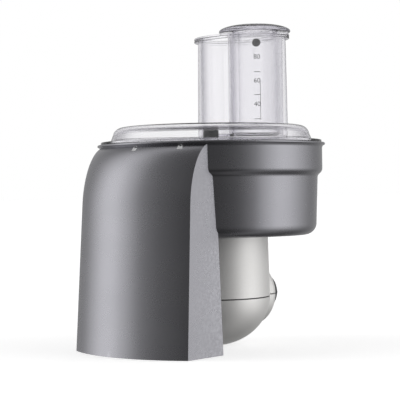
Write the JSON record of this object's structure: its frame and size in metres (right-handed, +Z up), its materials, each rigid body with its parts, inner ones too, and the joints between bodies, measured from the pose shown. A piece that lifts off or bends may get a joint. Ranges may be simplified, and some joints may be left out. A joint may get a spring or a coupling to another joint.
{
  "type": "food processor attachment",
  "caption": "Slicing and dicing attachment of a stand mixer: grey bowl with a hooded chute, clear lid with an oval feed tube and nested pushers, cutting disc, grid and angled gearbox.",
  "frame": {"origin": "point of the gearbox's flat foot on the bowl's vertical axis, on the surface that the part stands on", "axes": "+Z up along the bowl's axis, +Y towards the mixer along the drive shaft, -Y towards the chute"},
  "size_m": [0.2, 0.2245, 0.2832],
  "materials": {
    "graphite_plastic": "satin metallic graphite",
    "clear_plastic": "clear moulded plastic",
    "silver_plastic": "satin silver paint",
    "black_plastic": "fine grain",
    "black_rubber": "matt",
    "steel": "ground stainless",
    "gear_steel": "sintered and oiled",
    "bronze": "sintered bronze"
  },
  "bodies": {
    "bowl_unit": {"bowl": "graphite_plastic", "chute_hood": "graphite_plastic", "chute_screw_1": "steel", "chute_screw_2": "steel", "grid_holder": "black_plastic", "dicing_grid": "steel"},
    "lid_ring": {"lid_seal": "black_rubber"},
    "lid_unit": {"lid": "clear_plastic"},
    "large_pusher_unit": {"large_pusher": "clear_plastic"},
    "small_pusher_unit": {"small_pusher": "clear_plastic", "pusher_cap": "clear_plastic", "pusher_plug": "black_plastic"},
    "power_unit": {"housing_upper": "silver_plastic", "housing_lower": "silver_plastic", "housing_gasket": "black_rubber", "housing_screw_1": "steel", "housing_screw_2": "steel", "housing_screw_3": "steel", "drive_hub": "black_plastic", "hub_bush_inner": "bronze", "hub_bush_outer": "bronze", "hub_seal": "black_rubber", "spindle_bush_lower": "bronze", "spindle_bush_upper": "bronze", "spindle_seal": "black_rubber"},
    "input_unit": {"input_shaft": "steel", "input_pinion": "gear_steel", "shaft_washer": "steel", "shaft_circlip": "steel"},
    "spindle_unit": {"spindle": "steel", "crown_gear": "gear_steel", "spindle_washer": "steel", "spindle_circlip": "steel", "ejector": "black_plastic", "disc_hub": "black_plastic", "disc_plate": "steel", "blade_bridge": "black_plastic", "slicing_blade": "steel", "blade_rivet_1": "steel", "blade_rivet_2": "steel", "blade_rivet_3": "steel"}
  },
  "joints": [
    {"name": "lid_lift", "type": "slide", "parent": "bowl_unit", "child": "lid_ring", "axis": [0, 0, 1], "range_m": [0, 0.1]},
    {"name": "lid_twist", "type": "hinge", "parent": "lid_ring", "child": "lid_unit", "pos_m": [0, 0, 0.18], "axis": [0, 0, 1], "range_deg": [-25, 0]},
    {"name": "large_pusher_slide", "type": "slide", "parent": "lid_unit", "child": "large_pusher_unit", "axis": [0, 0, 1], "range_m": [0, 0.095]},
    {"name": "small_pusher_slide", "type": "slide", "parent": "large_pusher_unit", "child": "small_pusher_unit", "axis": [0, 0, 1], "range_m": [0, 0.095]},
    {"name": "power_unit_twist", "type": "hinge", "parent": "bowl_unit", "child": "power_unit", "pos_m": [0, 0, 0.1], "axis": [0, 0, 1], "range_deg": [0, 28]},
    {"name": "spindle_spin", "type": "hinge", "parent": "power_unit", "child": "spindle_unit", "pos_m": [0, 0, 0.1], "axis": [0, 0, 1], "continuous": true},
    {"name": "input_spin", "type": "hinge", "parent": "power_unit", "child": "input_unit", "pos_m": [0, 0.045, 0.042], "axis": [0, 1, 0], "continuous": true}
  ],
  "couplings": [
    {"joint": "input_spin", "follows": "spindle_spin", "ratio": -1.5}
  ]
}
